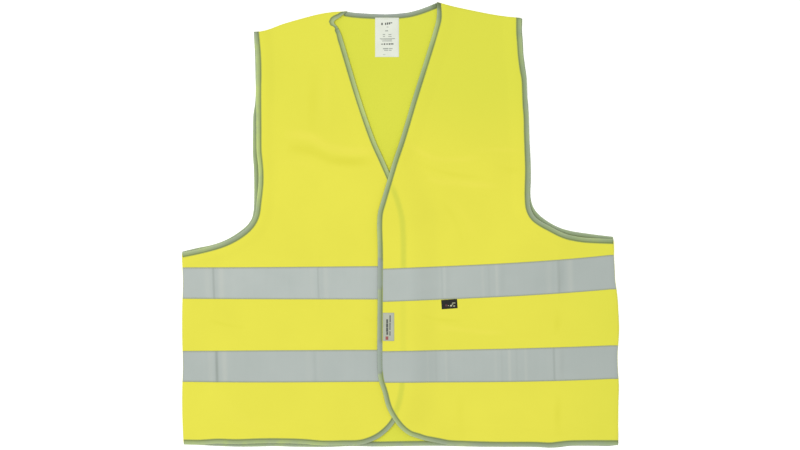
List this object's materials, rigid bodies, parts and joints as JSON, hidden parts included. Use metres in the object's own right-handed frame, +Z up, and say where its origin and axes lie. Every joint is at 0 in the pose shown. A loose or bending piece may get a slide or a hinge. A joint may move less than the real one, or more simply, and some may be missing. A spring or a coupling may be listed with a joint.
{
  "type": "safety vest",
  "caption": "Sleeveless high-visibility vest laid flat with its front up, with a V neck, lapped fronts, bound edges and reflective tapes round the body.",
  "frame": {"origin": "under the middle of the vest, on the surface that it lies on", "axes": "+X to the wearer's left across the vest, +Y along the vest to the neck, +Z up out of its front"},
  "size_m": [0.6775, 0.6904, 0.0101],
  "materials": {
    "yellow_cloth": "fluorescent yellow knitted polyester, matt",
    "edge_binding": "grey-green woven binding, folded, slight sheen",
    "reflective_tape": "silver-grey retroreflective tape, satin",
    "white_label": "white printed ribbon",
    "black_label": "black woven ribbon",
    "grey_tab": "silver-grey printed ribbon",
    "fastener": "hook-and-loop strip, matt"
  },
  "bodies": {
    "root": {"back_panel": "yellow_cloth", "front_right_panel": "yellow_cloth", "front_left_panel": "yellow_cloth", "back_tape_upper": "reflective_tape", "back_tape_lower": "reflective_tape", "front_right_tape_upper": "reflective_tape", "front_right_tape_lower": "reflective_tape", "front_left_tape_upper": "reflective_tape", "front_left_tape_lower": "reflective_tape", "back_neck_binding": "edge_binding", "back_hem_binding": "edge_binding", "back_armhole_binding_right": "edge_binding", "back_armhole_binding_left": "edge_binding", "front_right_binding": "edge_binding", "front_left_binding": "edge_binding", "front_armhole_binding_right": "edge_binding", "front_armhole_binding_left": "edge_binding", "care_label": "white_label", "black_label": "black_label", "tab_label": "grey_tab", "loop_strip": "fastener", "hook_strip": "fastener"}
  },
  "joints": []
}
